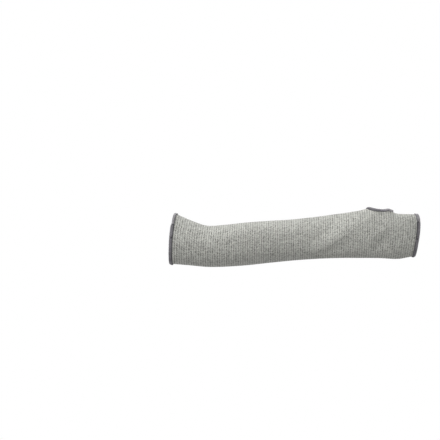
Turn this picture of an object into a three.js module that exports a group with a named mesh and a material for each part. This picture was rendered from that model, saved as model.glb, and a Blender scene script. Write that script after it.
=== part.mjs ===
// Knitted protective sleeve for the lower arm: a seamless tube with a slot for the thumb,
// overlocked round the upper opening, the hand opening and the thumb slot.
// Millimetres. The tube runs along +X from its upper opening to the hand, the thumb side is up (+Z),
// and the origin is the centre of the upper opening. It keeps the shape that it has when worn.

import * as THREE from 'three';
import { LoftGeometry } from 'three/addons/geometries/LoftGeometry.js';
import { mergeGeometries, mergeVertices } from 'three/addons/utils/BufferGeometryUtils.js';

// Lengths of the whole sleeve
const sleeveLength = 450;
const openingHeight = 95.4;
const openingDepth = 90;
const elbowDrop = 15;

// The knitted wall, and the overlock thread that wraps its edges
const knitWall = 1.5;
const seamGap = 0.3;
const thumbSeamGap = 0.5;
const threadLayer = 0.8;
const armEdgeWidth = 5.5;
const handEdgeWidth = 6.5;
const thumbEdgeWidth = 5.2;

// The thumb slot: how far it ends from the hand opening, its length, and how much of a turn it is open for
const handMargin = 45.2;
const thumbSlotLength = 43;
const thumbSlotDegrees = 70;
const thumbTentHeight = 19.5;

// How the two openings lean and bulge, seen from the side
const armRimLean = 4;
const armRimBulge = 5.7;
const handRimLean = 2.2;
const handRimBulge = 5.6;
const handRimCorner = 2.7;

// Height of the largest fold, and its half width along the sleeve
const foldHeight = 3.2;
const foldReach = 20;

// How softly the narrowing of the thumb side sets in at mid height, as a share of the half height
const eggBlend = 0.17;

// Number of facets round the sleeve, and of rows before, beside, along and past the thumb slot
const facetsRound = 40;
const rowCounts = { before: 28, beside: 2, along: 16, past: 3 };

const fullTurn = 2 * Math.PI;
const slotStart = sleeveLength - handMargin - thumbSlotLength;

// Cross-sections, from just past the upper opening to just past the hand opening.
// at: share of sleeveLength. drop: share of elbowDrop that the middle lies below the openings' line.
// tall, deep: shares of openingHeight and openingDepth. egg: how much the thumb side narrows.
// box: 2 is an ellipse, and more is squarer. lean: how far the thumb side leans to +Y, for each mm of height.
const sections = [
  { at: -0.03, drop: -0.23, tall: 1.050, deep: 1.02, egg: 0.45, box: 2.7, lean: 0.00 },
  { at: 0.00, drop: 0.00, tall: 1.000, deep: 1.00, egg: 0.42, box: 2.7, lean: 0.00 },
  { at: 0.07, drop: 0.55, tall: 0.880, deep: 0.96, egg: 0.34, box: 2.7, lean: 0.00 },
  { at: 0.14, drop: 1.00, tall: 0.800, deep: 0.92, egg: 0.16, box: 2.7, lean: 0.00 },
  { at: 0.20, drop: 0.97, tall: 0.808, deep: 0.91, egg: 0.00, box: 2.7, lean: 0.00 },
  { at: 0.30, drop: 0.72, tall: 0.829, deep: 0.89, egg: -0.06, box: 2.5, lean: 0.00 },
  { at: 0.40, drop: 0.45, tall: 0.813, deep: 0.84, egg: -0.06, box: 2.3, lean: 0.02 },
  { at: 0.50, drop: 0.21, tall: 0.796, deep: 0.74, egg: -0.04, box: 2.2, lean: 0.09 },
  { at: 0.60, drop: -0.06, tall: 0.817, deep: 0.62, egg: 0.00, box: 2.2, lean: 0.17 },
  { at: 0.69, drop: -0.29, tall: 0.862, deep: 0.57, egg: 0.05, box: 2.2, lean: 0.14 },
  { at: 0.77, drop: -0.41, tall: 0.899, deep: 0.53, egg: 0.10, box: 2.3, lean: 0.07 },
  { at: 0.85, drop: -0.42, tall: 0.908, deep: 0.51, egg: 0.12, box: 2.4, lean: 0.00 },
  { at: 0.93, drop: -0.22, tall: 0.873, deep: 0.46, egg: 0.10, box: 2.5, lean: -0.06 },
  { at: 0.97, drop: -0.31, tall: 0.835, deep: 0.42, egg: 0.08, box: 2.5, lean: -0.08 },
  { at: 1.03, drop: -0.44, tall: 0.765, deep: 0.36, egg: 0.06, box: 2.5, lean: -0.08 },
];

// How far the thumb side is lifted to the thumb.
// at: share of thumbSlotLength from the slot's wrist end. lift: share of thumbTentHeight.
const thumbTent = [
  { at: -1.36, lift: 0.00 },
  { at: -1.01, lift: 0.00 },
  { at: -0.71, lift: 0.04 },
  { at: -0.36, lift: 0.11 },
  { at: -0.08, lift: 0.26 },
  { at: 0.12, lift: 0.47 },
  { at: 0.33, lift: 0.70 },
  { at: 0.50, lift: 0.84 },
  { at: 0.70, lift: 0.79 },
  { at: 0.85, lift: 0.57 },
  { at: 0.97, lift: 0.22 },
  { at: 1.08, lift: 0.07 },
  { at: 1.20, lift: 0.01 },
  { at: 1.43, lift: 0.00 },
];

// Soft folds that run round the sleeve from the thumb slot, and hollows beside them.
// from, to: degrees from the thumb side, positive on the -Y side.
// start, middle, end: shares of sleeveLength where its crest lies at from, halfway and at to.
// rise: share of foldHeight. reach: share of foldReach.
const folds = [
  { from: 12, to: 158, start: 0.800, middle: 0.711, end: 0.530, rise: 1.00, reach: 1.25 },
  { from: 25, to: 130, start: 0.690, middle: 0.620, end: 0.520, rise: -0.45, reach: 0.80 },
  { from: 88, to: 165, start: 0.740, middle: 0.680, end: 0.590, rise: -0.50, reach: 0.85 },
  { from: 34, to: 122, start: 0.925, middle: 0.860, end: 0.780, rise: 0.50, reach: 0.75 },
  { from: 82, to: 150, start: 0.872, middle: 0.845, end: 0.815, rise: -0.85, reach: 0.60 },
  { from: -10, to: 60, start: 0.545, middle: 0.540, end: 0.520, rise: 0.30, reach: 0.90 },
  { from: -12, to: -150, start: 0.800, middle: 0.725, end: 0.590, rise: 0.85, reach: 0.90 },
  { from: -55, to: -160, start: 0.810, middle: 0.750, end: 0.690, rise: -0.65, reach: 0.80 },
  { from: -40, to: -130, start: 0.930, middle: 0.870, end: 0.830, rise: 0.45, reach: 0.75 },
  { from: -60, to: -150, start: 0.560, middle: 0.500, end: 0.450, rise: 0.30, reach: 1.10 },
];

// Smooth curve through one column of a table, as a function of its at column
function through(table, column) {
  const curve = new THREE.CubicInterpolant(table.map((row) => row.at), table.map((row) => row[column]), 1);
  return (at) => curve.evaluate(at)[0];
}

const drop = through(sections, 'drop');
const tall = through(sections, 'tall');
const deep = through(sections, 'deep');
const egg = through(sections, 'egg');
const box = through(sections, 'box');
const lean = through(sections, 'lean');
const tentLift = through(thumbTent, 'lift');

// Where the edges of the two openings lie along X, at each turn round the sleeve
const bulge = (turn) => Math.abs(Math.sin(turn)) ** 1.5;
const armRim = (turn) => armRimLean * Math.cos(turn) - armRimBulge * bulge(turn);
const handRim = (turn) => sleeveLength + handRimLean * Math.cos(turn)
  + (handRimBulge + handRimCorner * Math.cos(turn)) * bulge(turn);

// Height of all the folds at one place: each rises as a bell across its crest and fades at its two ends
function foldRelief(at, turn) {
  const degrees = THREE.MathUtils.radToDeg(turn > Math.PI ? turn - fullTurn : turn);
  let relief = 0;
  for (const fold of folds) {
    const along = (degrees - fold.from) / (fold.to - fold.from);
    if (along <= 0 || along >= 1) continue;
    const crest = fold.start * (1 - along) * (1 - 2 * along) + 4 * fold.middle * along * (1 - along)
      + fold.end * along * (2 * along - 1);
    const away = (at - crest) * sleeveLength / (fold.reach * foldReach);
    relief += fold.rise * Math.exp(-away * away) * Math.sin(Math.PI * along) ** 2;
  }
  return relief * foldHeight;
}

// A point of the knit's outer face: x along the sleeve, turn round it from the thumb side
function skin(x, turn) {
  const at = x / sleeveLength;
  const up = Math.cos(turn);
  const out = Math.sin(turn);
  const full = (Math.abs(up) ** box(at) + Math.abs(out) ** box(at)) ** (-1 / box(at));
  const thumbward = (up + Math.hypot(up, eggBlend)) / 2;
  const lift = thumbTentHeight * tentLift((x - slotStart) / thumbSlotLength) * Math.max(0, up) ** 3;
  const relief = foldRelief(at, turn);
  const halfHeight = 0.5 * openingHeight * tall(at);
  const halfDepth = 0.5 * openingDepth * deep(at) * (1 - egg(at) * thumbward);
  const height = (halfHeight * full + relief) * up;
  return new THREE.Vector3(
    x,
    lean(at) * height - (halfDepth * full + relief) * out,
    -elbowDrop * drop(at) + height + lift,
  );
}

// How fast the outer face moves with x and with turn
function slopes(x, turn) {
  const step = 0.01;
  const turnStep = step / openingHeight;
  return {
    byX: skin(x + step, turn).sub(skin(x - step, turn)).divideScalar(2 * step),
    byTurn: skin(x, turn + turnStep).sub(skin(x, turn - turnStep)).divideScalar(2 * turnStep),
  };
}

// A point straight in from the outer face, or out of it where depth is negative
function atDepth(x, turn, depth) {
  const { byX, byTurn } = slopes(x, turn);
  return skin(x, turn).addScaledVector(byTurn.cross(byX).normalize(), -depth);
}

// The thumb slot's outline, as a loop from its wrist end over the -Y side to its hand end and back
const slotPosition = (x) => (x - armRim(0)) / (handRim(0) - armRim(0));
const slotFrom = slotPosition(slotStart);
const slotTo = slotPosition(slotStart + thumbSlotLength);
const bandShare = slotPosition(slotStart + thumbEdgeWidth) - slotFrom;
const slotSpread = (phase) => 0.5 * THREE.MathUtils.degToRad(thumbSlotDegrees) * Math.sin(phase);
const slotShare = (phase) => THREE.MathUtils.lerp(slotFrom, slotTo, 0.5 - 0.5 * Math.cos(phase));

// Where a row that lies at one share of the sleeve crosses one turn
function rowX(share, turn) {
  return THREE.MathUtils.lerp(armRim(turn), handRim(turn), share);
}

// Closed body of grids that share their edges
function closedBody(grids) {
  const bare = grids.map((grid) => grid.deleteAttribute('normal').deleteAttribute('uv'));
  return mergeVertices(mergeGeometries(bare));
}

// The rows of the knit: each has its share of the length and the turn at which it starts,
// which is zero outside the thumb slot
function knitRows() {
  const plainRows = (from, to, count) => Array.from({ length: count },
    (_, i) => ({ share: THREE.MathUtils.lerp(from, to, (i + 1) / count), spread: 0 }));
  const slotRows = Array.from({ length: rowCounts.along - 1 }, (_, i) => {
    const phase = Math.PI * (i + 1) / rowCounts.along;
    return { share: slotShare(phase), spread: slotSpread(phase), slot: true };
  });
  return [
    { share: 0, spread: 0 },
    ...plainRows(0, slotFrom - bandShare, rowCounts.before),
    ...plainRows(slotFrom - bandShare, slotFrom, rowCounts.beside).map(
      (row, i) => ({ ...row, slot: i === rowCounts.beside - 1 })),
    ...slotRows,
    { share: slotTo, spread: 0, slot: true },
    ...plainRows(slotTo, slotTo + bandShare, rowCounts.beside),
    ...plainRows(slotTo + bandShare, 1, rowCounts.past),
  ];
}

// The turns at which a row has its points
function turnsFrom(spread) {
  return Array.from({ length: facetsRound + 1 },
    (_, j) => THREE.MathUtils.lerp(spread, fullTurn - spread, j / facetsRound));
}

function knitRow(row, depth) {
  const points = turnsFrom(row.spread).map((turn) => atDepth(rowX(row.share, turn), turn, depth));
  if (row.spread === 0) points[facetsRound] = points[0].clone();
  return points;
}

// The knitted tube: out along the outer face, back along the inner one, with a strip down each side of the slot
function knitSleeve() {
  const rows = knitRows();
  const outer = rows.map((row) => knitRow(row, 0));
  const inner = rows.map((row) => knitRow(row, knitWall));
  const wall = new LoftGeometry([...outer, ...inner.toReversed(), outer[0]], { closed: false });
  const slotRows = rows.keys().filter((i) => rows[i].slot).toArray();
  const nearSide = new LoftGeometry(slotRows.map((i) => [inner[i][0], outer[i][0]]), { closed: false });
  const farSide = new LoftGeometry(
    slotRows.map((i) => [outer[i][facetsRound], inner[i][facetsRound]]), { closed: false });
  return closedBody([wall, nearSide, farSide]);
}

// Section of the overlock: a layer of thread over the knit, round its edge and under it.
// in: distance into the knit from its edge. deep: distance below the knit's outer face.
function overlockSection(width, gap) {
  const above = -gap;
  const below = knitWall + gap;
  const half = width / 2;
  return [
    { in: width, deep: above - threadLayer },
    { in: half, deep: above - threadLayer },
    { in: -gap, deep: above - threadLayer },
    { in: -gap - threadLayer, deep: knitWall / 2 },
    { in: -gap, deep: below + threadLayer },
    { in: half, deep: below + threadLayer },
    { in: width, deep: below + threadLayer },
    { in: width, deep: below },
    { in: half, deep: below },
    { in: -gap, deep: below },
    { in: -gap, deep: above },
    { in: half, deep: above },
    { in: width, deep: above },
  ];
}

// Overlock round an opening: rim gives the edge's X, and side is +1 where the knit lies towards +X
function rimOverlock(width, rim, side) {
  const section = overlockSection(width, seamGap);
  const rings = turnsFrom(0).map((turn) => section.map(
    (point) => atDepth(rim(turn) + side * point.in, turn, point.deep)));
  rings[facetsRound] = rings[0];
  return closedBody([new LoftGeometry(side > 0 ? rings : rings.toReversed())]);
}

// The place that lies a distance outwards from the slot's outline, walked in short steps across the outer face
function besideSlot(phase, distance) {
  const outline = (angle) => {
    const turn = slotSpread(angle);
    return { x: rowX(slotShare(angle), turn), turn };
  };
  const step = 0.001;
  const before = outline(phase - step);
  const after = outline(phase + step);
  const runX = after.x - before.x;
  const runTurn = after.turn - before.turn;
  const place = outline(phase);
  const walks = 4;
  for (let i = 0; i < walks; i++) {
    const { byX, byTurn } = slopes(place.x, place.turn);
    const e = byX.lengthSq();
    const g = byTurn.lengthSq();
    const stride = distance / walks / Math.sqrt(e * g * (e * runX ** 2 + g * runTurn ** 2));
    place.x -= g * runTurn * stride;
    place.turn += e * runX * stride;
  }
  return place;
}

function thumbOverlock() {
  const section = overlockSection(thumbEdgeWidth, thumbSeamGap);
  const count = 2 * rowCounts.along;
  const rings = Array.from({ length: count }, (_, i) => section.map((point) => {
    const place = besideSlot(fullTurn * i / count, point.in);
    return atDepth(place.x, place.turn, point.deep);
  }));
  return closedBody([new LoftGeometry([...rings, rings[0]].toReversed())]);
}

const knitMarl = new THREE.MeshStandardMaterial({ name: 'knit', color: 0x9d9e99, roughness: 0.95 });
const greyThread = new THREE.MeshStandardMaterial({ name: 'overlock', color: 0x646369, roughness: 0.9 });

function piece(name, geometry, material) {
  const mesh = new THREE.Mesh(geometry, material);
  mesh.name = name;
  return mesh;
}

const sleeve = new THREE.Group();
sleeve.name = 'protective_sleeve';
sleeve.add(
  piece('knit_sleeve', knitSleeve(), knitMarl),
  piece('arm_edge', rimOverlock(armEdgeWidth, armRim, 1), greyThread),
  piece('hand_edge', rimOverlock(handEdgeWidth, handRim, -1), greyThread),
  piece('thumb_edge', thumbOverlock(), greyThread),
);

export default sleeve;
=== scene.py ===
"""Finishes the knitted protective sleeve: marl knit with real courses and wales, overlocked edges
wound with thread, and a plain white studio. Metres throughout, +X towards the hand opening, +Z towards
the thumb slot.

A place on the sleeve is given by x and by the turn from the slot's side, positive towards -Y."""

import math
from typing import Callable, NamedTuple

import bpy
import numpy as np
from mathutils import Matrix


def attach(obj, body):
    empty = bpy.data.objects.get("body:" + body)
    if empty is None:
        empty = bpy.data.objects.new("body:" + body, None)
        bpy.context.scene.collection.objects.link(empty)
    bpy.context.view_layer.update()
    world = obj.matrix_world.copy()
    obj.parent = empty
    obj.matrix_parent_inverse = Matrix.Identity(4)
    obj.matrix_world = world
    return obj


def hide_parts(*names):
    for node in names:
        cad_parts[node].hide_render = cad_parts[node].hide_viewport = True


bl_info = {
    "name": "Knitted protective sleeve",
    "version": (1, 0, 0),
    "blender": (4, 5, 0),
    "location": "3D View > Sidebar > Sleeve",
    "description": "Builds a marl-knit sleeve with a thumb slot and overlocked edges",
    "category": "Add Mesh",
}

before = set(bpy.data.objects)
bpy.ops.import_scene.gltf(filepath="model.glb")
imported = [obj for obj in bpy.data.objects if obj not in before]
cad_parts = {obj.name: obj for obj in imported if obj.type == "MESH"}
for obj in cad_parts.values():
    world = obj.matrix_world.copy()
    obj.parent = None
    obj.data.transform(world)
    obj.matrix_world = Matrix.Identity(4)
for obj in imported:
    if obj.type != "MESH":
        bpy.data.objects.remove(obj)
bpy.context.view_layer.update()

MM = 0.001
TURN = 2 * math.pi

# Apparent size of each far light, which makes it soft
LIGHT_SPREAD = math.radians(83)

# The folded band under the overlock's thread: its gap to the knit, its thickness, and how far it ends
# short of the overlock's inner border
BAND_GAP = 0.28 * MM
BAND_LEAF = 0.3 * MM
BAND_SHORT = 0.4 * MM

# The needle thread: length of a stitch, points that draw one, and how far it lies short of the
# overlock's inner border
NEEDLE_STITCH = 2.6 * MM
NEEDLE_POINTS = 6
NEEDLE_INSET = 0.5 * MM

# Material slots of an overlocked piece
LOOPER, NEEDLE, SINGLE_AND_LIT = 0, 1, 2

# Corners of a thread's cross-section, and the pattern's share of one step along and across the thread
THREAD_SIDES = 5
THREAD_UV = (1 / 4, 1 / THREAD_SIDES)


# Tables of shape

def table(columns, rows):
    """Columns of a table by name, from rows of numbers."""
    return dict(zip(columns.split(), np.array(rows, float).T))


# Cross-sections. at: share of the sleeve's length. drop: share of elbow_drop below the openings' line.
# tall, deep: shares of the upper opening's height and depth. egg: how much the thumb side narrows.
# box: 2 is an ellipse, and more is squarer. lean: how far the thumb side leans to +Y for its height.
SECTIONS = table("at drop tall deep egg box lean", [
    (-0.03, -0.23, 1.05, 1.02, 0.47, 3.3, 0.00),
    (0.00, 0.00, 1.000, 1.00, 0.46, 3.3, 0.00),
    (0.07, 0.55, 0.880, 0.96, 0.42, 3.3, 0.00),
    (0.14, 1.00, 0.800, 0.92, 0.28, 3.2, 0.00),
    (0.20, 0.97, 0.808, 0.91, 0.09, 2.9, 0.00),
    (0.30, 0.72, 0.829, 0.89, -0.04, 2.5, 0.00),
    (0.40, 0.45, 0.813, 0.84, -0.06, 2.3, 0.02),
    (0.50, 0.21, 0.796, 0.74, -0.04, 2.2, 0.09),
    (0.60, -0.06, 0.817, 0.62, 0.00, 2.2, 0.17),
    (0.69, -0.29, 0.862, 0.57, 0.05, 2.2, 0.14),
    (0.77, -0.41, 0.899, 0.53, 0.10, 2.3, 0.05),
    (0.85, -0.42, 0.908, 0.51, 0.12, 2.4, -0.04),
    (0.93, -0.22, 0.873, 0.46, 0.10, 2.5, -0.11),
    (0.97, -0.31, 0.835, 0.42, 0.08, 2.5, -0.13),
    (1.03, -0.44, 0.765, 0.36, 0.06, 2.5, -0.13),
])

# How softly the narrowing of the thumb side sets in at mid height, as a share of the half height
EGG_BLEND = 0.17

# How far the thumb side is lifted. at: share of the slot's length from its wrist end.
# lift: share of tent_height.
THUMB_TENT = table("at lift", [
    (-1.36, 0.00),
    (-1.01, 0.00),
    (-0.71, 0.04),
    (-0.36, 0.11),
    (-0.08, 0.26),
    (0.12, 0.47),
    (0.33, 0.70),
    (0.50, 0.84),
    (0.70, 0.82),
    (0.85, 0.67),
    (0.97, 0.33),
    (1.08, 0.08),
    (1.20, 0.01),
    (1.43, 0.00),
])

# Folds. begin, until: degrees from the thumb side, positive on the -Y side. start, middle, end: shares
# of the length where the crest lies there and halfway. rise, reach: shares of fold_height and fold_reach.
FOLDS = table("begin until start middle end rise reach", [
    (12, 158, 0.800, 0.700, 0.490, 1.00, 1.25),
    (25, 130, 0.690, 0.620, 0.520, -0.45, 0.80),
    (88, 168, 0.735, 0.655, 0.545, -0.65, 0.85),
    (34, 122, 0.925, 0.860, 0.780, 0.50, 0.75),
    (82, 150, 0.872, 0.845, 0.815, -0.85, 0.60),
    (-10, 60, 0.545, 0.540, 0.520, 0.30, 0.90),
    (-12, -150, 0.800, 0.725, 0.590, 0.85, 0.90),
    (-55, -160, 0.810, 0.750, 0.690, -0.65, 0.80),
    (-40, -130, 0.930, 0.870, 0.830, 0.45, 0.75),
    (-60, -150, 0.560, 0.500, 0.450, 0.30, 1.10),
    (40, 115, 0.060, 0.090, 0.140, 0.60, 1.20),
    (75, 172, 0.100, 0.160, 0.280, -0.60, 1.80),
])


# What a user would change

def length(name, description, default):
    """A length property in metres."""
    return bpy.props.FloatProperty(
        name=name, description=description, default=default, unit="LENGTH", precision=4)


def share(name, description, default):
    """A plain number between 0 and 1."""
    return bpy.props.FloatProperty(
        name=name, description=description, default=default, min=0.0, max=1.0, subtype="FACTOR")


def colour(name, description, default):
    """A colour in linear light."""
    return bpy.props.FloatVectorProperty(
        name=name, description=description, default=default, size=3, min=0.0, max=1.0, subtype="COLOR")


class SleeveForm(bpy.types.PropertyGroup):
    """Sizes of the worn sleeve"""
    sleeve_length: length("Length", "Upper opening to hand opening", 0.45)
    opening_height: length("Opening height", "Height of the upper opening", 0.0954)
    opening_depth: length("Opening depth", "Depth of the upper opening", 0.09)
    elbow_drop: length("Elbow drop", "How far the elbow hangs below the openings' line", 0.015)
    hand_margin: length("Hand margin", "Thumb slot to hand opening", 0.0452)
    slot_length: length("Slot length", "Length of the thumb slot", 0.043)
    slot_turn: bpy.props.FloatProperty(
        name="Slot opening", description="Turn that the thumb slot is open for at its middle",
        default=math.radians(70), subtype="ANGLE")
    tent_height: length("Tent height", "Largest lift of the thumb side, at the slot", 0.0195)
    arm_rim_lean: length("Arm rim lean", "Lean of the upper opening, seen from the side", 0.0044)
    arm_rim_bulge: length("Arm rim bulge", "Bulge of the upper opening, seen from the side", 0.0052)
    join_turn: bpy.props.FloatProperty(
        name="Join turn", description="Where the arm's overlock starts and ends, from the thumb side",
        default=math.radians(62), subtype="ANGLE")
    join_step: length("Join step", "Step of the upper opening at that join", 0.0012)
    hand_join_turn: bpy.props.FloatProperty(
        name="Hand join turn",
        description="Where the hand's overlock starts and ends, from the thumb side",
        default=math.radians(54), subtype="ANGLE")
    hand_rim_lean: length("Hand rim lean", "Lean of the hand opening, seen from the side", 0.0022)
    hand_rim_bulge: length("Hand rim bulge", "Bulge of the hand opening, seen from the side", 0.0056)
    hand_rim_corner: length("Hand rim corner", "Fullness of the bulge's upper corner", 0.0027)
    fold_height: length("Fold height", "Height of the largest fold", 0.0032)
    fold_reach: length("Fold reach", "Half width of the widest fold", 0.02)


class KnitFinish(bpy.types.PropertyGroup):
    """The knitted wall and its yarn"""
    wall: length("Wall", "Thickness of the knit", 0.0015)
    flat_width: length("Flat width", "Width of the unstretched knit, laid open as one layer", 0.19)
    courses_before: bpy.props.IntProperty(
        name="Courses before slot", description="Courses from the upper opening to the thumb slot",
        default=172)
    courses_along: bpy.props.IntProperty(
        name="Courses along slot", description="Courses beside the thumb slot", default=20)
    courses_past: bpy.props.IntProperty(
        name="Courses past slot", description="Courses from the thumb slot to the hand opening",
        default=22)
    wales: bpy.props.IntProperty(name="Wales", description="Stitches round the sleeve", default=90)
    relief: length("Stitch relief", "Height of a stitch over the ground of the knit", 0.00022)
    pale_yarn: colour("Pale yarn", "The pale ply of the marl", (0.588, 0.59, 0.547))
    dark_yarn: colour("Dark yarn", "The dark ply of the marl", (0.12, 0.122, 0.112))
    fleck: share("Fleck", "Difference between neighbouring stitches", 0.58)
    stripe: share("Stripe", "Difference between neighbouring courses", 0.43)
    wander: share("Wander", "Slow change of shade along a course", 0.16)


class OverlockFinish(bpy.types.PropertyGroup):
    """The overlocked edges"""
    arm_width: length("Arm edge width", "Width of the overlock at the upper opening", 0.0052)
    hand_width: length("Hand edge width", "Width of the overlock at the hand opening", 0.0057)
    thumb_width: length("Thumb edge width", "Width of the overlock round the thumb slot", 0.0041)
    thread: length("Thread", "Diameter of the looper thread", 0.0009)
    pitch: length("Pitch", "Distance between two wraps of thread", 0.00115)
    grey: colour("Looper thread", "The grey thread that wraps the edge", (0.235, 0.227, 0.245))
    # Paler than the grey, partly for the single layer and partly as a painted highlight on the sleeve's
    # upper side
    thin: colour("Single thread", "The looper thread where a single layer lets the knit show through",
                 (0.36, 0.35, 0.365))
    dark: colour("Needle thread", "The darker thread that locks the wraps", (0.05, 0.05, 0.053))


class StudioSettings(bpy.types.PropertyGroup):
    """Camera and light"""
    camera_distance: length("Camera distance", "Camera to the sleeve's middle plane", 9.0)
    frame_width: length("Frame width", "What the frame takes in across, at the sleeve", 0.814)
    view_x: length("View centre X", "Place along the sleeve at the frame's centre", 0.0874)
    view_z: length("View centre Z", "Height at the frame's centre", 0.0335)
    floor_drop: length("Floor", "Depth of the floor below the sleeve's upper opening", 0.6)
    ambient: bpy.props.FloatProperty(name="Ambient", description="Light from all sides", default=0.38)
    key: bpy.props.FloatProperty(
        name="Key", description="Light from the wide soft box overhead", default=3.25, unit="POWER")
    key_tilt: bpy.props.FloatProperty(
        name="Key tilt", description="How far the soft box hangs from overhead towards the camera",
        default=math.radians(15), subtype="ANGLE")
    key_side: bpy.props.FloatProperty(
        name="Key side", description="How far the soft box hangs towards the hand opening",
        default=math.radians(-20), subtype="ANGLE")
    fill: bpy.props.FloatProperty(
        name="Fill", description="Light from the camera's side, and as much from behind",
        default=0.6, unit="POWER")
    fill_tilt: bpy.props.FloatProperty(
        name="Fill tilt", description="Turn of each fill from overhead, to the camera's side or behind",
        default=math.radians(115), subtype="ANGLE")


# The worn surface

def smooth_through(shape, name, where):
    """Cubic curve through one column: at each row its slope is the mean of the two chords beside it."""
    at, values = shape["at"], shape[name]
    chords = np.diff(values) / np.diff(at)
    rise = np.concatenate([chords[:1], (chords[1:] + chords[:-1]) / 2, chords[-1:]])
    where = np.clip(where, at[0], at[-1])
    row = np.clip(np.searchsorted(at, where) - 1, 0, len(at) - 2)
    gap = at[row + 1] - at[row]
    p = (where - at[row]) / gap
    return ((1 + 2 * p) * (1 - p) ** 2 * values[row] + p * (1 - p) ** 2 * gap * rise[row]
            + p * p * (3 - 2 * p) * values[row + 1] - p * p * (1 - p) * gap * rise[row + 1])


def slot_start(form):
    """X of the thumb slot's wrist end: the sleeve's length less the hand margin and the slot's length."""
    return form.sleeve_length - form.hand_margin - form.slot_length


def ramp(ahead, width):
    """Rises in a straight line from 0 to 1 while ahead goes from half the width below 0 to half above."""
    return np.clip(ahead / width + 0.5, 0, 1)


def wrapped(turn):
    """The turn brought between minus half a turn and half a turn."""
    return np.mod(turn + math.pi, TURN) - math.pi


def bulge(turn):
    """How far a rim bulges at a turn, the sine to the power 1.5: none at the top and bottom, all of it
    at the sides."""
    return np.abs(np.sin(turn)) ** 1.5


def past_join(form, turn):
    """1 on the thumb side of the join in the arm's overlock, 0 on the other. It is the product of two
    cubic steps: a sharp one at the join, and a gentle one at the same turn on the other side."""
    sharp, gentle = 0.12, 0.8
    near = ramp(form.join_turn - wrapped(turn), sharp)
    far = ramp(wrapped(turn) + form.join_turn, gentle)
    return near * near * (3 - 2 * near) * far * far * (3 - 2 * far)


def arm_rim(form, turn):
    """X of the upper opening's edge: its lean times the cosine, less its bulge, plus the join's step."""
    return (form.arm_rim_lean * np.cos(turn) - form.arm_rim_bulge * bulge(turn)
            + form.join_step * past_join(form, turn))


def hand_rim(form, turn):
    """X of the hand opening's edge: the sleeve's length, its lean times the cosine, and its bulge, which
    is fuller towards the thumb side."""
    return (form.sleeve_length + form.hand_rim_lean * np.cos(turn)
            + (form.hand_rim_bulge + form.hand_rim_corner * np.cos(turn)) * bulge(turn))


def fold_relief(form, at, turn):
    """Height of the folds: each is a bell across its crest, whose place is a parabola in the turn,
    and fades as a squared sine towards its two ends."""
    relief = 0.0
    for begin, until, start, middle, end, rise, reach in zip(*FOLDS.values()):
        past = np.mod((np.degrees(turn) - begin) * np.sign(until - begin), 360)
        along = np.clip(past / abs(until - begin), 0, 1)
        crest = (start * (1 - along) * (1 - 2 * along) + 4 * middle * along * (1 - along)
                 + end * along * (2 * along - 1))
        away = (at - crest) * form.sleeve_length / (reach * form.fold_reach)
        relief = relief + rise * np.exp(-away * away) * np.sin(math.pi * along) ** 2
    return relief * form.fold_height


def skin(form, x, turn):
    """The knit's outer face: a rounded box at each x, narrower and leaning over at the thumb side,
    lifted at the slot, with its folds."""
    x, turn = np.broadcast_arrays(x, turn)
    at = x / form.sleeve_length
    up, out = np.cos(turn), np.sin(turn)
    box = smooth_through(SECTIONS, "box", at)
    full = (np.abs(up) ** box + np.abs(out) ** box) ** (-1 / box)
    narrow = smooth_through(SECTIONS, "egg", at) * (up + np.hypot(up, EGG_BLEND)) / 2
    beside = (x - slot_start(form)) / form.slot_length
    lift = form.tent_height * smooth_through(THUMB_TENT, "lift", beside) * np.maximum(0, up) ** 3
    relief = fold_relief(form, at, turn)
    half_height = 0.5 * form.opening_height * smooth_through(SECTIONS, "tall", at)
    half_depth = 0.5 * form.opening_depth * smooth_through(SECTIONS, "deep", at) * (1 - narrow)
    height = (half_height * full + relief) * up
    y = smooth_through(SECTIONS, "lean", at) * height - (half_depth * full + relief) * out
    return np.stack([x, y, height + lift - form.elbow_drop * smooth_through(SECTIONS, "drop", at)], -1)


def slopes(form, x, turn):
    """How fast the outer face moves with x and with the turn: half the change over two short steps."""
    step = 0.01 * MM
    turn_step = step / form.opening_height
    by_x = (skin(form, x + step, turn) - skin(form, x - step, turn)) / (2 * step)
    by_turn = (skin(form, x, turn + turn_step) - skin(form, x, turn - turn_step)) / (2 * turn_step)
    return by_x, by_turn


def unit(vectors):
    """Vectors divided by their lengths."""
    return vectors / np.linalg.norm(vectors, axis=-1, keepdims=True)


def at_depth(form, x, turn, depth):
    """Points straight in from the outer face, or out of it where the depth is negative."""
    by_x, by_turn = slopes(form, x, turn)
    return skin(form, x, turn) - unit(np.cross(by_turn, by_x)) * np.asarray(depth)[..., None]


def between_rims(form, length_share, turn):
    """X at a share of the way from the arm's rim to the hand's, along one turn."""
    return arm_rim(form, turn) * (1 - length_share) + hand_rim(form, turn) * length_share


def course_x(form, length_share, turn):
    """Where a course crosses a turn: courses lie square to X, and each rim's own offset is added
    in a share that falls off as a fifth power from that rim."""
    fade = 5
    near_arm, near_hand = (1 - length_share) ** fade, length_share ** fade
    return (form.sleeve_length * length_share + arm_rim(form, turn) * near_arm
            + (hand_rim(form, turn) - form.sleeve_length) * near_hand)


def course_shares(form):
    """Shares of the courses on which the thumb slot starts and ends."""
    fine = np.linspace(0, 1, 2001)
    ends = slot_start(form) + np.array([0, form.slot_length])
    return np.interp(ends, course_x(form, fine, 0.0), fine)


def slot_shares(form):
    """Where the thumb slot starts and ends, as shares of the way between the rims on the thumb side."""
    reach = hand_rim(form, 0.0) - arm_rim(form, 0.0)
    return [(slot_start(form) + extra - arm_rim(form, 0.0)) / reach for extra in (0, form.slot_length)]


def slot_outline(form, phase):
    """The slot's edge as x and turn: half a cosine along, a sine round."""
    low, high = slot_shares(form)
    turn = 0.5 * form.slot_turn * np.sin(phase)
    return between_rims(form, low + (high - low) * (0.5 - 0.5 * np.cos(phase)), turn), turn


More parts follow.
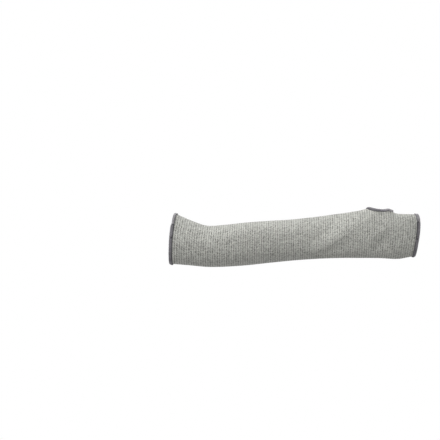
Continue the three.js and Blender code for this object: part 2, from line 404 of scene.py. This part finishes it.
def beside_slot(form, phase, distance):
    """Places that lie a distance outwards from the slot's edge, walked in short steps across the outer
    face: each step is square to the edge in the face's own metric."""
    step, walks = 0.001, 4
    before, after = slot_outline(form, phase - step), slot_outline(form, phase + step)
    run_x, run_turn = after[0] - before[0], after[1] - before[1]
    x, turn = slot_outline(form, phase)
    for _ in range(walks):
        by_x, by_turn = slopes(form, x, turn)
        e, g = np.sum(by_x ** 2, -1), np.sum(by_turn ** 2, -1)
        stride = distance / walks / np.sqrt(e * g * (e * run_x ** 2 + g * run_turn ** 2))
        x, turn = x - g * run_turn * stride, turn + e * run_x * stride
    return x, turn


# Meshes

def grid_quads(rows, columns, closed=False):
    """Corner numbers and grid places of the quads of a grid of points, which may close both ways."""
    i = np.arange(rows if closed else rows - 1)[:, None]
    j = np.arange(columns if closed else columns - 1)[None, :]
    i, j = np.broadcast_arrays(i, j)
    corners = [(i, j), (i, j + 1), (i + 1, j + 1), (i + 1, j)]
    quads = np.stack([(a % rows) * columns + b % columns for a, b in corners], -1)
    places = np.stack([np.stack([a, b], -1) for a, b in corners], -2)
    return quads.reshape(-1, 4), places.reshape(-1, 4, 2).astype(float)


class Body:
    """Gathers grids of quads that become one mesh."""

    def __init__(self):
        self.points, self.quads, self.uvs, self.slots, self.count = [], [], [], [], 0

    def add(self, points, quads, uvs, slot=0):
        """Adds quads, given by their corners' numbers among these points, with a UV for each corner."""
        points = points.reshape(-1, 3)
        self.points.append(points)
        self.quads.append(quads + self.count)
        self.uvs.append(uvs)
        self.slots.append(np.full(len(quads), slot))
        self.count += len(points)

    def add_ring(self, points, uv_scale, slot=0):
        """A closed tube from rings of points (ring, corner, 3). Its signed volume, summed from its quads'
        triple products, says whether they have to be turned to face outwards. slot is one number, or one
        for each ring."""
        rings, corners = points.shape[:2]
        quads, places = grid_quads(rings, corners, closed=True)
        a, b, c, d = (points.reshape(-1, 3)[quads[:, k]] for k in range(4))
        volume = np.sum(a * (np.cross(b, c) + np.cross(c, d)))
        uvs = places * np.asarray(uv_scale)
        if volume < 0:
            quads, uvs = quads[:, ::-1], uvs[:, ::-1]
        self.add(points, quads, uvs, np.repeat(np.broadcast_to(slot, rings), corners))

    def make(self, name, materials):
        """The gathered grids as one smooth mesh, without points that no quad uses."""
        points = np.concatenate(self.points)
        quads = np.concatenate(self.quads)
        used, numbers = np.unique(quads, return_inverse=True)
        mesh = bpy.data.meshes.new(name)
        mesh.from_pydata(points[used].tolist(), [], numbers.reshape(-1, 4).tolist())
        layer = mesh.uv_layers.new(name="yarn")
        layer.uv.foreach_set("vector", np.concatenate(self.uvs).reshape(-1).astype(np.float32))
        mesh.polygons.foreach_set("use_smooth", np.ones(len(quads), bool))
        mesh.polygons.foreach_set("material_index", np.concatenate(self.slots).astype(np.int32))
        for material in materials:
            mesh.materials.append(material)
        mesh.validate()
        piece = bpy.data.objects.new(name, mesh)
        bpy.context.scene.collection.objects.link(piece)
        return piece


# Shader maths

class Value:
    """A socket that takes part in Python expressions, each of which adds its Math node."""

    def __init__(self, finish, socket):
        self.finish, self.socket = finish, socket

    def maths(self, operation, *others):
        """A Math node whose first number is this one."""
        return self.finish.node("ShaderNodeMath", {"operation": operation}, (self, *others))

    def __add__(self, other):
        return self.maths("ADD", other)

    __radd__ = __add__

    def __mul__(self, other):
        return self.maths("MULTIPLY", other)

    def __sub__(self, other):
        return self.maths("SUBTRACT", other)

    def __rsub__(self, other):
        return self.finish.node("ShaderNodeMath", {"operation": "SUBTRACT"}, (other, self))

    def __truediv__(self, other):
        return self.maths("DIVIDE", other)


class Finish:
    """The node tree of a material or of the room."""

    def __init__(self, owner):
        self.owner = owner
        owner.use_nodes = True
        self.tree = owner.node_tree
        self.tree.nodes.clear()

    def node(self, kind, settings=None, inputs=(), output=0):
        """Adds a node: its settings first, then the values or links of its sockets."""
        node = self.tree.nodes.new(kind)
        for key, value in (settings or {}).items():
            setattr(node, key, value)
        pairs = inputs.items() if isinstance(inputs, dict) else enumerate(inputs)
        for key, value in pairs:
            if isinstance(value, Value):
                self.tree.links.new(value.socket, node.inputs[key])
            else:
                node.inputs[key].default_value = value
        return Value(self, node.outputs[output])

    def yarn_place(self):
        """The piece's own UV map as two numbers, u and v."""
        place = self.node("ShaderNodeUVMap", {"uv_map": "yarn"})
        parts = self.node("ShaderNodeSeparateXYZ", {}, (place,))
        return parts, Value(self, parts.socket.node.outputs[1])

    def mix(self, factor, first, second):
        """A colour between two colours, each (r, g, b). The node has sockets of its own for colours: 6 and
        7 are its inputs and 2 its output."""
        inputs = {0: factor, 6: (*first, 1.0), 7: (*second, 1.0)}
        return self.node("ShaderNodeMix", {"data_type": "RGBA"}, inputs, 2)

    def noise(self, vector, scale, detail):
        """Smooth noise from 0 to 1, with scale as its cells in one unit of the vector."""
        return self.node("ShaderNodeTexNoise", {"noise_dimensions": "3D"},
                         {"Vector": vector, "Scale": scale, "Detail": detail, "Roughness": 0.5})

    def surface(self, shade, roughness, height, depth, sheen):
        """Closes the tree with a Principled shader. Its bumps are as high as depth."""
        bumps = self.node("ShaderNodeBump", {}, {"Strength": 1.0, "Distance": depth, "Height": height})
        inputs = {"Base Color": shade, "Roughness": roughness, "Normal": bumps,
                  "Sheen Weight": sheen, "Sheen Roughness": 0.6, "Specular IOR Level": 0.15}
        return self.close(self.node("ShaderNodeBsdfPrincipled", {}, inputs))

    def close(self, shader):
        """Ends the tree in its output and gives back the material or room."""
        kind = "World" if isinstance(self.owner, bpy.types.World) else "Material"
        output = self.tree.nodes.new("ShaderNodeOutput" + kind)
        self.tree.links.new(shader.socket, output.inputs["Surface"])
        return self.owner


def marl_knit(knit):
    """Plain knit of a pale and a dark ply: u counts courses and v counts wales. The two legs of each stitch
    lean towards the middle of their wale. Each leg has a shade of its own, neighbouring courses differ,
    and the shade wanders slowly along each course."""
    finish = Finish(bpy.data.materials.new("marl knit"))
    u, v = finish.yarn_place()
    slant = 0.9
    across = (v.maths("FRACT") - 0.5).maths("ABSOLUTE")
    leaning = u + across * slant
    course = leaning.maths("FLOOR")
    side = (v * 2.0).maths("FLOOR")
    odd = (course * 0.5).maths("FRACT") * 2.0 - 0.5
    leg_number = finish.node("ShaderNodeCombineXYZ", {}, (course, side, 0.0))
    own = finish.node("ShaderNodeTexWhiteNoise", {"noise_dimensions": "2D"}, {"Vector": leg_number}) - 0.5
    slow_course, slow_wale = 0.31, 0.30
    slow_place = finish.node("ShaderNodeCombineXYZ", {}, (course * slow_course, v * slow_wale, 0.0))
    slow = finish.noise(slow_place, scale=1.0, detail=2.0) - 0.5
    plies_a_course, plies_a_wale, ply_tone = 1.7, 3.0, 0.05
    twist = ((leaning * plies_a_course + v * plies_a_wale) * TURN).maths("SINE")
    tone = 0.5 + odd * knit.stripe + own * knit.fleck + slow * knit.wander + twist * ply_tone
    leg = 1.0 - (leaning.maths("FRACT") - 0.5).maths("ABSOLUTE") * 2.0
    flat_top, rounding, furrow_slope, painted_top_light = 0.7, 0.3, 6.0, 0.15
    furrow = (0.5 - across) * furrow_slope
    height = leg.maths("SMOOTH_MIN", flat_top, rounding) * furrow.maths("MINIMUM", 1.0)
    # The stitches' raised tops are painted lighter and their furrows darker: painted highlight and painted
    # shade on the relief
    shade = finish.mix(tone + height * painted_top_light, tuple(knit.dark_yarn), tuple(knit.pale_yarn))
    return finish.surface(shade, roughness=0.92, height=height, depth=0.25 * MM, sheen=0.25)


def looper_thread(name, base, uneven, border):
    """Twisted thread: its ply shows as slanting ridges, and its tone wanders from place to place. A wrap
    has 12 corners along the thread. It is painted palest at its fold, half a corner past the fifth, as a
    painted highlight, and painted darker towards the inner border, as painted shade; border sets how much."""
    finish = Finish(bpy.data.materials.new(name))
    u, v = finish.yarn_place()
    plies_along, ply_tone = 2.0, 0.2
    twist = ((u * plies_along + v) * TURN).maths("SINE") * 0.5 + 0.5
    object_output = 3
    place = finish.node("ShaderNodeTexCoord", {}, (), object_output)
    cells_a_metre = 160.0
    wander = finish.noise(place, cells_a_metre, detail=3.0) - 0.5
    corners, fold = 12, 5.5
    painted_wrap_light = ((u / (corners * THREAD_UV[0]) - fold / corners) * TURN).maths("COSINE")
    # The cosine over each wrap, times border, paints a highlight at the fold and shade towards the inner
    # border
    tone = 0.5 + wander * uneven + (twist - 0.5) * ply_tone + painted_wrap_light * border
    dark = tuple(0.4 * c for c in base)
    pale = tuple(min(1.0, 1.6 * c) for c in base)
    shade = finish.mix(tone, dark, pale)
    return finish.surface(shade, roughness=0.85, height=twist, depth=0.12 * MM, sheen=0.2)


# The knitted tube

def knit_rows(form, knit):
    """Share of the way between the rims for each row of the outer face, two rows a course."""
    low, high = course_shares(form)
    before = np.linspace(0, low, 2 * knit.courses_before + 1)[:-1]
    along = np.linspace(low, high, 2 * knit.courses_along + 1)[:-1]
    past = np.linspace(high, 1, 2 * knit.courses_past + 1)
    return np.concatenate([before, along, past])


def round_slot(form, x, turn, side):
    """Turn at which a wale runs at x, where turn is the one it has far from the slot, and side, 1 or -1,
    the way it goes round. Wales part round the slot as a stream parts round a pillar: with the slot
    scaled to a circle of radius 1, y (1 - 1 / (x x + y y)) stays the same along each, which Newton's
    steps solve for y. The shift fades to none on the far side."""
    steps, least_slope = 40, 1e-6
    along = (x - slot_start(form)) / form.slot_length * 2 - 1
    away = np.abs(turn) / (0.5 * form.slot_turn)
    y = away + 1.0
    for _ in range(steps):
        value = y ** 3 - away * y * y + (along * along - 1) * y - away * along * along
        slope = 3 * y * y - 2 * away * y + along * along - 1
        y = y - value / np.maximum(slope, least_slope)
    y = np.where((away == 0) & (np.abs(along) >= 1), 0.0, y)
    shift = (y - away) * 0.5 * form.slot_turn * (1 - np.abs(turn) / math.pi)
    return turn + shift * side


def knit_body(form, knit):
    """The knit as one closed wall. Its outer face has a row on each course and one between, and a column
    on each wale and one between. Every other column lies back by a share of a row and every other forth,
    so each stitch is a V, and its relief stands out on the courses and sinks between the wales. The
    inner face is plain and has every fifth row, except beside the thumb slot, where it has them all."""
    shares = knit_rows(form, knit)
    rows, columns = len(shares), 2 * knit.wales + 1
    slot_first, slot_last = 2 * knit.courses_before, 2 * (knit.courses_before + knit.courses_along)
    i = np.arange(rows)[:, None]
    j = np.arange(columns)[None, :]
    apart = TURN * j / (columns - 1)
    x = course_x(form, shares, 0.0)[:, None]
    near = round_slot(form, x, apart + 0 * x, 1)
    far = round_slot(form, x, apart - TURN + 0 * x, -1)
    turn = np.where(j <= knit.wales, near, TURN + far)
    turn[:slot_first + 1, [0, -1]] = (0, TURN)
    turn[slot_last:, [0, -1]] = (0, TURN)

    calm_rows, slot_margin = 4, 6
    inland = np.minimum(np.minimum(i, rows - 1 - i) / calm_rows, 1.0)
    beside = (i > slot_first - slot_margin) & (i < slot_last + slot_margin)
    from_slot = np.minimum(np.minimum(j, columns - 1 - j) / calm_rows, 1.0)
    calm = inland * np.where(beside, from_slot, 1.0)
    stitch_lean = 0.3 / (rows - 1)
    lean = np.where(j % 2 == 0, -stitch_lean, stitch_lean) * calm
    on_course, between_courses, between_wales = 1.0, -0.5, 0.7
    ridge = np.where(i % 2 == 0, on_course, between_courses) - np.where(j % 2 == 0, between_wales, 0.0)
    outer = at_depth(form, course_x(form, shares[:, None] + lean, turn), turn, -ridge * calm * knit.relief)

    every = 5
    kept = np.unique(np.concatenate([
        np.arange(0, slot_first, every), np.arange(slot_first, slot_last + 1),
        np.arange(slot_last, rows, every), [rows - 1]]))
    inner_x = course_x(form, shares[kept, None], turn[kept])
    inner = at_depth(form, inner_x, turn[kept], np.full((1, 1), knit.wall))

    numbers = i * columns + j
    whole = (i <= slot_first) | (i >= slot_last)
    numbers = np.where(whole & (j == columns - 1), i * columns, numbers)
    left_out = kept - np.arange(len(kept))
    inner_numbers = rows * columns + numbers[kept] - left_out[:, None] * columns
    outer_places, outer_uvs = grid_quads(rows, columns)
    outer_quads = numbers.reshape(-1)[outer_places]
    inner_places, inner_at = grid_quads(len(kept), columns)
    inner_quads = inner_numbers.reshape(-1)[inner_places][:, ::-1]
    inner_rows = np.interp(inner_at[..., 0], np.arange(len(kept)), kept)
    inner_uvs = np.stack([inner_rows, inner_at[..., 1]], -1)[:, ::-1]
    strips, strip_uvs = [], []

    def strip(outside, inside, uv):
        """Quads between two lines of corners, and the same pattern place for both."""
        strips.append(np.stack([inside[:-1], inside[1:], outside[1:], outside[:-1]], -1))
        strip_uvs.append(np.stack([uv[:-1], uv[1:], uv[1:], uv[:-1]], 1))

    across = np.stack([np.zeros(columns), np.arange(columns)], -1)
    strip(numbers[0], inner_numbers[0], across)
    strip(numbers[-1][::-1], inner_numbers[-1][::-1], across[::-1])
    in_slot = np.where((kept >= slot_first) & (kept <= slot_last))[0]
    slot_rows = kept[in_slot]
    down_slot = np.stack([slot_rows, np.zeros(len(in_slot))], -1)
    strip(numbers[slot_rows, 0][::-1], inner_numbers[in_slot, 0][::-1], down_slot[::-1])
    strip(numbers[slot_rows, -1], inner_numbers[in_slot, -1], down_slot)
    steps_a_stitch = 2
    body = Body()
    body.add(np.concatenate([outer.reshape(-1, 3), inner.reshape(-1, 3)]),
             np.concatenate([outer_quads, inner_quads, *strips]),
             np.concatenate([outer_uvs, inner_uvs, *strip_uvs]) / steps_a_stitch)
    return body


# The overlocked edges

def even_steps(line, count):
    """Shares of a closed line, given as a function of its share, at which its length is cut evenly."""
    fine = np.linspace(0, 1, 2001)
    run = np.concatenate([[0], np.cumsum(np.linalg.norm(np.diff(line(fine), axis=0), axis=1))])
    return np.interp(np.arange(count) / count * run[-1], run, fine), run[-1]


def tube_rings(path, sideways, radius, sides):
    """Rings of points round a closed path, set square to it; sideways is never along the path."""
    ahead = unit(np.roll(path, -1, 0) - np.roll(path, 1, 0))
    first = unit(sideways - np.sum(sideways * ahead, -1, keepdims=True) * ahead)
    second = np.cross(ahead, first)
    angle = np.arange(sides) / sides * TURN
    around = first[:, None] * np.cos(angle)[None, :, None] + second[:, None] * np.sin(angle)[None, :, None]
    return path[:, None] + around * np.reshape(radius, (-1, 1, 1))


def knot_path(middle, along, out, size):
    """A closed trefoil, flattened along out, and at each point a direction that is never along it."""
    points = 48
    t = np.arange(points)[:, None] / points * TURN
    across = np.cross(along, out)
    path = middle + size / 3 * (
        (np.sin(t) + 2 * np.sin(2 * t)) * along + (np.cos(t) - 2 * np.cos(2 * t)) * across
        - 0.8 * np.sin(3 * t) * out)
    return path, out + 0 * path


class Edge(NamedTuple):
    """How one edge is overlocked. place gives points from a share of the edge's line, a distance inwards
    and a depth. single is above a half where the looper thread lies in a single layer, which lacks the
    share slim of the width; its paler thread is partly a painted highlight on the sleeve's upper side.
    needle is the needle thread's thickness in looper threads. A knot, where a thread ends, has a share
    and a size, and an overlap its first and last share."""
    node: str
    place: Callable
    width: float
    slim: float
    needle: float
    single: Callable
    knots: tuple
    overlaps: tuple

    def line(self, at):
        """Points of the edge itself."""
        return self.place(at, np.zeros_like(at), np.zeros_like(at))

    def width_at(self, at):
        """Width of the overlock at each share."""
        return self.width * (1 - self.slim * self.single(at))


def looper_lift(lock):
    """How far the middle of the looper thread lies off the knit's face: the band and half the thread."""
    return BAND_GAP + BAND_LEAF + 0.5 * lock.thread


def add_thread(body, path, sideways, radius, slots):
    """A closed thread along a path."""
    body.add_ring(tube_rings(path, sideways, radius, THREAD_SIDES), THREAD_UV, slots)


def add_band(body, knit, edge):
    """A thin band under the thread: a closed profile carried along the edge. It comes out over the knit,
    turns round its edge, goes in below it, and comes back the same way nearer to the knit. Each corner
    has a share of the width, a distance more, and a depth."""
    rings = 240
    steps, _ = even_steps(edge.line, rings)
    over, under = -BAND_GAP, knit.wall + BAND_GAP
    profile = np.array([
        (1, 0, over - BAND_LEAF), (0.5, 0, over - BAND_LEAF), (0, 0, over - BAND_LEAF),
        (0, -0.6 * BAND_GAP - BAND_LEAF, 0.5 * knit.wall),
        (0, 0, under + BAND_LEAF), (0.5, 0, under + BAND_LEAF), (1, 0, under + BAND_LEAF),
        (1, 0, under), (0.5, 0, under), (0, -BAND_GAP, under),
        (0, -BAND_GAP, over), (0.5, 0, over), (1, 0, over)])
    inwards = profile[:, 0] * (edge.width_at(steps)[:, None] - BAND_SHORT) + profile[:, 1]
    depth = profile[:, 2] + 0 * inwards
    body.add_ring(edge.place(steps[:, None] + 0 * inwards, inwards, depth), (1.0, 1.0))


def add_looper(body, knit, lock, edge, around, rng):
    """The looper thread: a loop of corners, like the band's, repeated as a closed coil with a part of a
    wrap's pitch between two corners. The wraps differ a little in place, reach and thickness."""
    radius = 0.5 * lock.thread
    outside, inside = -looper_lift(lock), knit.wall + looper_lift(lock)
    tuck = 0.6 * radius
    nose = np.radians([-65, -22, 22, 65])
    nose_reach, nose_flat = 0.5 * knit.wall + looper_lift(lock), 0.45
    loop = np.array(
        [(0.98, 0, outside + tuck), (0.8, 0, outside), (0.5, 0, outside), (0.2, 0, outside)]
        + [(0, -nose_reach * math.cos(a) * nose_flat, 0.5 * knit.wall + nose_reach * math.sin(a))
           for a in nose]
        + [(0.2, 0, inside), (0.6, 0, inside), (0.97, 0, inside - tuck), (1.0, 0, 0.5 * knit.wall)])
    beats = len(loop)
    wraps = int(round(around / lock.pitch))
    even, _ = even_steps(edge.line, wraps)
    sway = rng.normal(0, 0.16, wraps)
    reach = 1 + rng.normal(0, 0.05, wraps)
    swell = 1 + rng.normal(0, 0.07, wraps)
    follow = np.where(np.arange(beats) < beats - 1, 1.0, 0.4)
    number = np.arange(wraps)[:, None] + np.arange(beats) / beats + sway[:, None] * follow
    at = np.interp(np.mod(number, wraps), np.arange(wraps + 1), np.append(even, 1.0))
    inwards = loop[:, 0] * edge.width_at(at) * reach[:, None] + loop[:, 1]
    path = edge.place(at, inwards, np.broadcast_to(loop[:, 2], at.shape))
    nudge = 0.001
    sideways = edge.line(np.mod(at + nudge, 1.0)) - edge.line(np.mod(at - nudge, 1.0))
    # The single layer takes the paler thread, which is partly a painted highlight on the sleeve's upper
    # side
    slots = np.where(edge.single(at).reshape(-1) > 0.5, SINGLE_AND_LIT, LOOPER)
    add_thread(body, path.reshape(-1, 3), sideways.reshape(-1, 3), radius * np.repeat(swell, beats), slots)


def add_knots(body, lock, edge):
    """A knot in the middle of the overlock's width, on the looper thread, wherever a thread ends."""
    radius = 0.5 * lock.thread
    nudge = 0.0005
    for at, size in edge.knots:
        spot = np.array([at - nudge, at + nudge])
        half = 0.5 * edge.width_at(spot)
        lift = np.full(2, looper_lift(lock) + radius)
        middle = edge.place(spot, half, -lift)
        above = edge.place(spot, half, -lift - MM)
        path, out = knot_path(
            middle.mean(0), unit(middle[1] - middle[0]), unit((above - middle).mean(0)), size)
        add_thread(body, path, out, 0.8 * radius, NEEDLE)


def add_needle(body, lock, edge, around):
    """The needle thread. It lies on the looper thread along the inner border, and dips into the knit
    between two stitches by the fourth power of a cosine. At an overlap it also runs there and back once
    more, in two lines side by side."""
    radius = 0.5 * lock.thread
    samples = np.arange(int(round(around / NEEDLE_STITCH)) * NEEDLE_POINTS)
    run, _ = even_steps(edge.line, len(samples))
    dip = np.abs(np.cos(math.pi * samples / NEEDLE_POINTS)) ** 4
    depth = -(looper_lift(lock) + 0.5 * radius) + dip * (looper_lift(lock) + 0.2 * MM)
    border = edge.width_at(run)
    out = unit(edge.place(run, border, depth - MM) - edge.place(run, border, depth))
    add_thread(body, edge.place(run, border - NEEDLE_INSET, depth), out, edge.needle * radius, NEEDLE)

    points = 60
    for first, last in edge.overlaps:
        there = np.linspace(first, last, points)
        again = np.concatenate([there, there[::-1]])
        inwards = edge.width_at(again) - np.repeat([0.9 * MM, 0.1 * MM], points)
        depth = np.full(2 * points, -(looper_lift(lock) + 0.3 * radius))
        path = edge.place(again, inwards, depth)
        out = unit(edge.place(again, inwards, depth - MM) - path)
        add_thread(body, path, out, 0.8 * radius, NEEDLE)


def overlock(knit, lock, edge, seed):
    """An overlocked edge: the folded band, the looper thread, the knots and the needle thread."""
    body = Body()
    _, around = even_steps(edge.line, 1)
    add_band(body, knit, edge)
    add_looper(body, knit, lock, edge, around, np.random.default_rng(seed))
    add_knots(body, lock, edge)
    add_needle(body, lock, edge, around)
    return body


# Operators

class SLEEVE_OT_knit(bpy.types.Operator):
    """Build the knitted tube with its thumb slot"""
    bl_idname = "sleeve.knit"
    bl_label = "Knitted tube"

    def execute(self, context):
        form, knit = context.scene.sleeve_form, context.scene.sleeve_knit
        piece = knit_body(form, knit).make("knit_tube", [marl_knit(knit)])
        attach(piece, "root")
        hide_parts("knit_sleeve")
        return {"FINISHED"}


class SLEEVE_OT_overlock(bpy.types.Operator):
    """Build the overlocked edges of the two openings and the thumb slot"""
    bl_idname = "sleeve.overlock"
    bl_label = "Overlocked edges"

    def execute(self, context):
        scene = context.scene
        form, knit, lock = scene.sleeve_form, scene.sleeve_knit, scene.sleeve_overlock
        # The last number of each is how strong the painted highlight at a wrap's fold and the painted shade
        # towards its inner border are
        materials = [looper_thread("looper thread", tuple(lock.grey), 0.7, 0.18),
                     looper_thread("needle thread", tuple(lock.dark), 0.4, 0.0),
                     # The paler single thread is partly a painted highlight on the sleeve's upper side
                     looper_thread("single looper thread", tuple(lock.thin), 0.7, 0.1)]

        def at_arm(at, inwards, depth):
            return at_depth(form, arm_rim(form, TURN * at) + inwards, TURN * at, depth)

        def at_hand(at, inwards, depth):
            return at_depth(form, hand_rim(form, TURN * at) - inwards, TURN * at, depth)

        def at_thumb(at, inwards, depth):
            x, turn = beside_slot(form, TURN * at, inwards)
            return at_depth(form, x, turn, depth)

        def above_arm_join(at):
            return past_join(form, TURN * at)

        def above_hand_join(at):
            softness = 0.15
            return ramp(form.hand_join_turn - np.abs(wrapped(TURN * at)), softness)

        def slot_hand_end(at):
            past_middle, softness = 0.3, 0.2
            return ramp(-np.cos(TURN * at) - past_middle, softness)

        arm_join, hand_join = form.join_turn / TURN, form.hand_join_turn / TURN
        arm_end, hand_end, lowest = 0.25, 0.28, 0.5
        edges = (
            Edge("arm_edge", at_arm, lock.arm_width, slim=0.3, needle=1.3, single=above_arm_join,
                 knots=((arm_join, 1.5 * MM), (arm_end, 1.4 * MM), (lowest, 1.8 * MM)),
                 overlaps=((arm_join, arm_end),)),
            Edge("hand_edge", at_hand, lock.hand_width, slim=0.0, needle=1.0, single=above_hand_join,
                 knots=((hand_join, 1.0 * MM), (hand_end, 1.2 * MM), (0.49, 1.4 * MM)),
                 overlaps=((hand_join, hand_end),)),
            Edge("thumb_edge", at_thumb, lock.thumb_width, slim=0.15, needle=0.4, single=slot_hand_end,
                 knots=((0.5, 1.2 * MM),), overlaps=()))
        for seed, edge in enumerate(edges, 1):
            piece = overlock(knit, lock, edge, seed).make(edge.node.replace("edge", "overlock"), materials)
            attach(piece, "root")
            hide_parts(edge.node)
        return {"FINISHED"}


class SLEEVE_OT_studio(bpy.types.Operator):
    """Set up the floor, the soft light and the camera"""
    bl_idname = "sleeve.studio"
    bl_label = "Studio"

    def execute(self, context):
        scene, studio = context.scene, context.scene.sleeve_studio
        scene.view_settings.view_transform = "Standard"
        make_floor(scene, studio)
        light_room(scene, studio)
        light_far(scene, "soft box", studio.key, studio.key_tilt, studio.key_side)
        light_far(scene, "front fill", studio.fill, studio.fill_tilt)
        light_far(scene, "back fill", studio.fill, -studio.fill_tilt)
        aim_camera(scene, studio)
        return {"FINISHED"}


def make_floor(scene, studio):
    """A wide white floor that only the camera sees, so that it throws no light on the sleeve."""
    half = 400.0
    corners = [(-half, -half, 0), (half, -half, 0), (half, half, 0), (-half, half, 0)]
    mesh = bpy.data.meshes.new("floor")
    mesh.from_pydata(corners, [], [(0, 1, 2, 3)])
    floor = bpy.data.objects.new("floor", mesh)
    floor.location.z = -studio.floor_drop
    scene.collection.objects.link(floor)
    finish = Finish(bpy.data.materials.new("white floor"))
    white = finish.node("ShaderNodeEmission", {}, {"Color": (1, 1, 1, 1), "Strength": 1.0})
    mesh.materials.append(finish.close(white))
    floor.visible_diffuse = floor.visible_glossy = floor.visible_shadow = False


def light_room(scene, studio):
    """A room that is white to the camera and lights the sleeve evenly from all sides."""
    world = bpy.data.worlds.new("studio")
    scene.world = world
    room = Finish(world)
    to_camera = room.node("ShaderNodeLightPath")
    strength = to_camera + (1.0 - to_camera) * studio.ambient
    room.close(room.node("ShaderNodeBackground", {}, {"Color": (1, 1, 1, 1), "Strength": strength}))


def light_far(scene, name, power, tilt, side=0.0):
    """A wide soft light so far off that it falls evenly. tilt is its turn from overhead towards the
    camera, and side its turn from there towards the hand opening. Its distance makes no difference."""
    away = 2.0
    lamp = bpy.data.lights.new(name, "SUN")
    lamp.energy = power
    lamp.angle = LIGHT_SPREAD
    holder = bpy.data.objects.new(name, lamp)
    holder.location = (away * math.sin(side), -away * math.sin(tilt), away * math.cos(tilt))
    holder.rotation_euler = (tilt, side, 0)
    scene.collection.objects.link(holder)


def aim_camera(scene, studio):
    """A level camera that looks along +Y."""
    camera = bpy.data.cameras.new("camera")
    camera.sensor_width = 36.0
    camera.lens = camera.sensor_width * studio.camera_distance / studio.frame_width
    camera.clip_end = 1000.0
    holder = bpy.data.objects.new("camera", camera)
    holder.location = (studio.view_x, -studio.camera_distance, studio.view_z)
    holder.rotation_euler = (math.pi / 2, 0, 0)
    scene.collection.objects.link(holder)
    scene.camera = holder


class SLEEVE_PT_panel(bpy.types.Panel):
    """Sleeve tools in the sidebar"""
    bl_idname = "SLEEVE_PT_panel"
    bl_label = "Protective sleeve"
    bl_space_type = "VIEW_3D"
    bl_region_type = "UI"
    bl_category = "Sleeve"

    def draw(self, context):
        for operator in OPERATORS:
            self.layout.operator(operator.bl_idname)


OPERATORS = (SLEEVE_OT_knit, SLEEVE_OT_overlock, SLEEVE_OT_studio)
GROUPS = {"sleeve_form": SleeveForm, "sleeve_knit": KnitFinish,
          "sleeve_overlock": OverlockFinish, "sleeve_studio": StudioSettings}


def register():
    """Makes the classes and the scene's settings known to Blender."""
    for item in (*GROUPS.values(), *OPERATORS, SLEEVE_PT_panel):
        bpy.utils.register_class(item)
    for name, group in GROUPS.items():
        setattr(bpy.types.Scene, name, bpy.props.PointerProperty(type=group))


def unregister():
    """Takes them away again."""
    for name in GROUPS:
        delattr(bpy.types.Scene, name)
    for item in reversed((*GROUPS.values(), *OPERATORS, SLEEVE_PT_panel)):
        bpy.utils.unregister_class(item)


def main():
    """Builds the stage and the pieces."""
    register()
    bpy.ops.sleeve.studio()
    bpy.ops.sleeve.knit()
    bpy.ops.sleeve.overlock()


if __name__ == "__main__":
    main()
